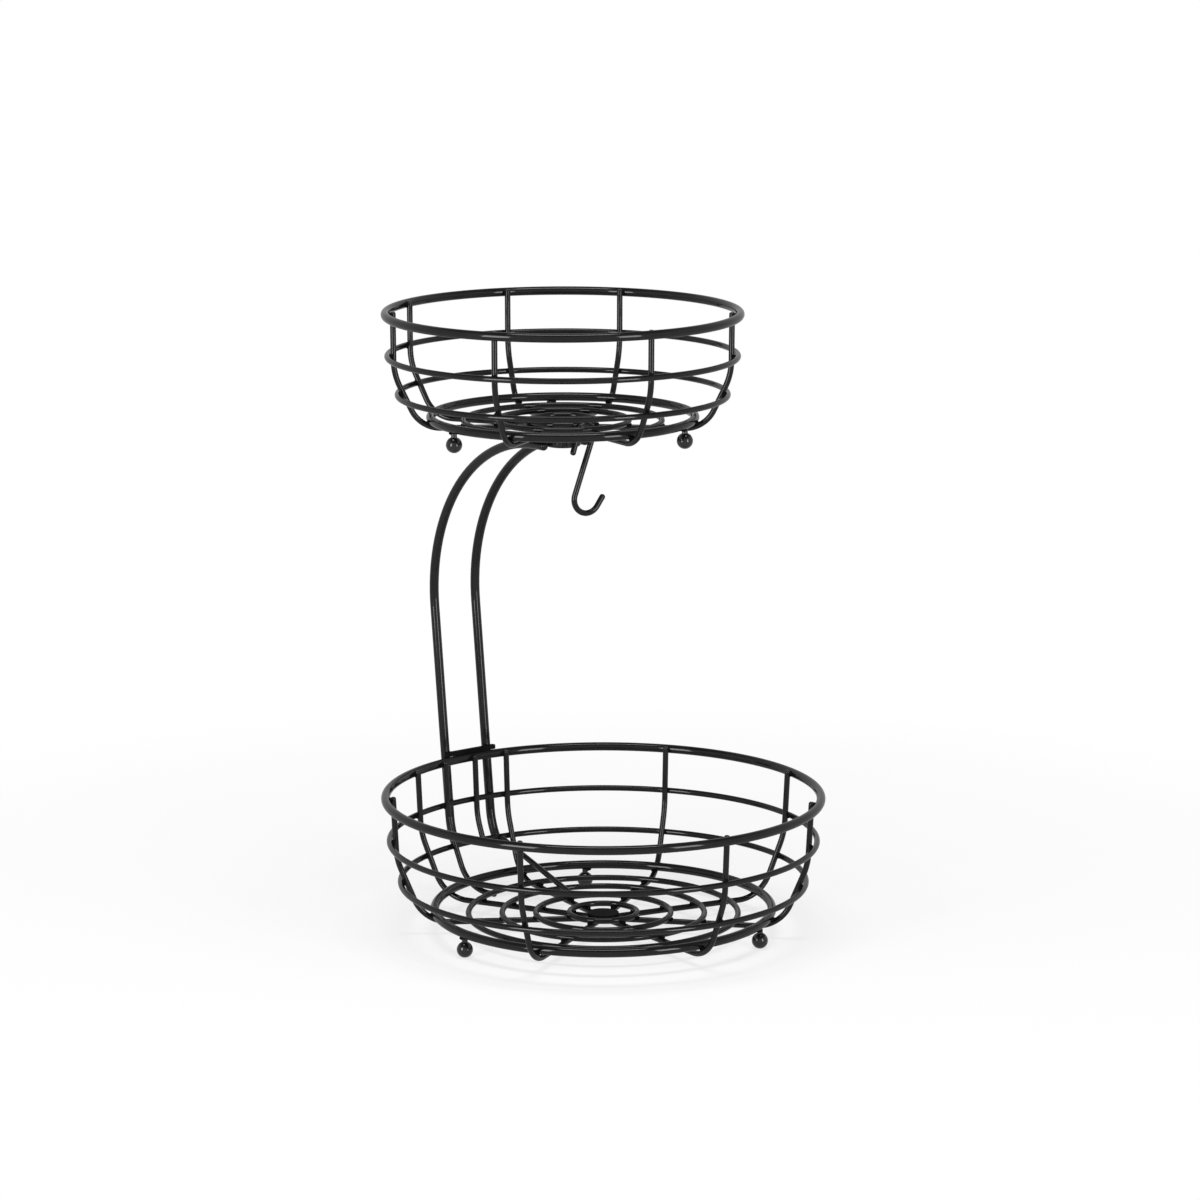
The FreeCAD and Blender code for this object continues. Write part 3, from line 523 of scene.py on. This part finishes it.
for slot, found in welds.items():
    beads = beads_for(slot + "_welds", found, bead_coat)
    print(beads.name, "has", len(found), "beads and", len(beads.data.polygons), "faces")

# %% [markdown]
# ## White paper
# The stand is seen on white, as on a roll of paper. Lamps that burn the paper out to white would
# flood the object too. So paper and walls answer by the way they are met: the camera, and anything
# glossy or clear, sees even white, and the light that bounces softly finds plain pale paper.

# %% Tell a look from soft light


def seen_directly(tree):
    """1 for camera, mirror and see-through rays, 0 for the light that bounces softly."""
    rays = tree.nodes.new("ShaderNodeLightPath").outputs
    look = combine(tree, "MAXIMUM", rays["Is Camera Ray"], rays["Is Glossy Ray"])
    return combine(tree, "MAXIMUM", look, rays["Is Transmission Ray"])


print("looks are told from soft light by their rays")

# %% [markdown]
# All white would leave the stand floating, so near the object a share of the paper's own shading
# is mixed in, and the pale shadow shows. That share fades out with the distance, which hides the
# edge of the lamps' light.

# %% Mix the paper
PAPER_TONE = (0.95, 0.95, 0.95, 1.0)
SHADOW_SHARE = 0.30
SHADOW_REACH = (0.24, 0.70)


def paper(name):
    sheet = bpy.data.materials.new(name)
    sheet.use_nodes = True
    tree = sheet.node_tree
    tree.nodes.clear()
    pale = tree.nodes.new("ShaderNodeBsdfDiffuse")
    pale.inputs["Color"].default_value = PAPER_TONE
    white = tree.nodes.new("ShaderNodeEmission")
    place = tree.nodes.new("ShaderNodeTexCoord").outputs["Object"]
    away = from_point(tree, place, "DISTANCE", (0.0, 0.0, 0.0)).outputs["Value"]
    whiteness = spread(tree, away, 1.0 - SHADOW_SHARE, 1.0, band=SHADOW_REACH)
    mix = tree.nodes.new("ShaderNodeMixShader")
    tree.links.new(combine(tree, "MULTIPLY", seen_directly(tree), whiteness), mix.inputs["Fac"])
    tree.links.new(pale.outputs["BSDF"], mix.inputs[1])
    tree.links.new(white.outputs["Emission"], mix.inputs[2])
    output = tree.nodes.new("ShaderNodeOutputMaterial")
    tree.links.new(mix.outputs["Shader"], output.inputs["Surface"])
    return sheet


pale_paper = paper("pale paper")
print(pale_paper.name, "mixed, with shadow up to", SHADOW_REACH[1], "m out")

# %% [markdown]
# The floor is one flat sheet, so wide that no view meets its edge. A curved backdrop isn't needed,
# because the wall behind is the same white.

# %% Lay the floor
FLOOR_HALF = 14.0
FLOOR_CORNERS = ((-1, -1), (1, -1), (1, 1), (-1, 1))
floor_mesh = bpy.data.meshes.new("floor")
floor_points = [(x * FLOOR_HALF, y * FLOOR_HALF, 0.0) for x, y in FLOOR_CORNERS]
floor_mesh.from_pydata(floor_points, [], [(0, 1, 2, 3)])
floor = show("floor", floor_mesh)
paint(floor, pale_paper)
print("floor", 2 * FLOOR_HALF, "m wide")

# %% [markdown]
# ## The surround
# The world is the rest of the studio: a white wall all round, and a dim ceiling above it that only
# glossy wire sees. A ceiling as white as the wall would turn the upper side of every ring grey. For
# the light that falls softly on the object, the world is one even fill.

# %% Light the world
FILL_LEVEL = 0.28
WALL_TOP, CEILING = math.sin(math.radians(30)), math.sin(math.radians(55))
WHITE = (1.0, 1.0, 1.0, 1.0)
world = bpy.data.worlds.new("white surround")
world.use_nodes = True
bpy.context.scene.world = world
sky = world.node_tree
background = next(node for node in sky.nodes if node.type == "BACKGROUND")
background.inputs["Color"].default_value = WHITE
toward = sky.nodes.new("ShaderNodeSeparateXYZ")
direction = sky.nodes.new("ShaderNodeTexCoord").outputs["Generated"]
sky.links.new(direction, toward.inputs["Vector"])
room = spread(sky, toward.outputs["Z"], 1.0, FILL_LEVEL, band=(WALL_TOP, CEILING))
level = sky.nodes.new("ShaderNodeMapRange")
level.inputs["To Min"].default_value = FILL_LEVEL
sky.links.new(room, level.inputs["To Max"])
sky.links.new(seen_directly(sky), level.inputs["Value"])
sky.links.new(level.outputs["Result"], background.inputs["Strength"])
print("surround fills at", FILL_LEVEL)

# %% [markdown]
# ## The lamps
# Black wire shows its roundness only by what it reflects. A small lamp would leave one dot of
# light on each wire, so the lamps are large panels with dimmer places between them. Two stand on
# the floor to the left and right of the camera and draw a grey line down each rib and rod. One
# hangs above and does the same along the top of every ring.

# %% Set up three panels
PANEL_MIDDLE = 0.56


def panel(name, place, aim, width, height, glow):
    """A flat lamp that faces a point; glow is how bright its face is next to white paper."""
    data = bpy.data.lights.new(name, "AREA")
    data.shape = "RECTANGLE"
    data.size = width
    data.size_y = height
    data.energy = glow * math.pi * width * height
    lamp = show(name, data)
    lamp.location = place
    lamp.visible_camera = False
    lamp.rotation_euler = (Vector(aim) - Vector(place)).to_track_quat("-Z", "Y").to_euler()
    print(name, "at", place, "with", round(data.energy, 1), "W")


panel("left panel", place=(-1.78, -0.28, PANEL_MIDDLE), aim=(0.0, 0.0, PANEL_MIDDLE),
      width=0.55, height=1.10, glow=12.0)
panel("right panel", place=(0.09, -1.80, PANEL_MIDDLE), aim=(0.0, 0.0, PANEL_MIDDLE),
      width=0.45, height=1.10, glow=11.0)
panel("top panel", place=(-0.10, -0.12, 2.00), aim=(0.0, 0.0, 0.0),
      width=1.10, height=0.50, glow=10.5)

# %% [markdown]
# ## The camera
# The rims in the photograph are ellipses. How flat each one is tells how far down the camera looks,
# and how much the near rim has grown tells how far away it stands. Moving the camera by eye would
# match one rim and miss the next. A fit to all of them gives a long lens above the upper rim, turned
# so that the post is at the back left.

# %% Set the camera
CAMERA_PLACE = (-1.8824, -2.3169, 0.827)
LOOK_DOWN = math.radians(11.333)
TURN = math.radians(-39.156)
LENS_LENGTH, SENSOR_WIDTH = 135.15, 36.0
lens = bpy.data.cameras.new("camera")
lens.lens = LENS_LENGTH
lens.sensor_width = SENSOR_WIDTH
camera = show("camera", lens)
camera.location = CAMERA_PLACE
camera.rotation_euler = (math.pi / 2 - LOOK_DOWN, 0.0, TURN)
bpy.context.scene.camera = camera
bpy.context.scene.view_settings.view_transform = "Standard"
print("camera at", CAMERA_PLACE, "with a", LENS_LENGTH, "mm lens")
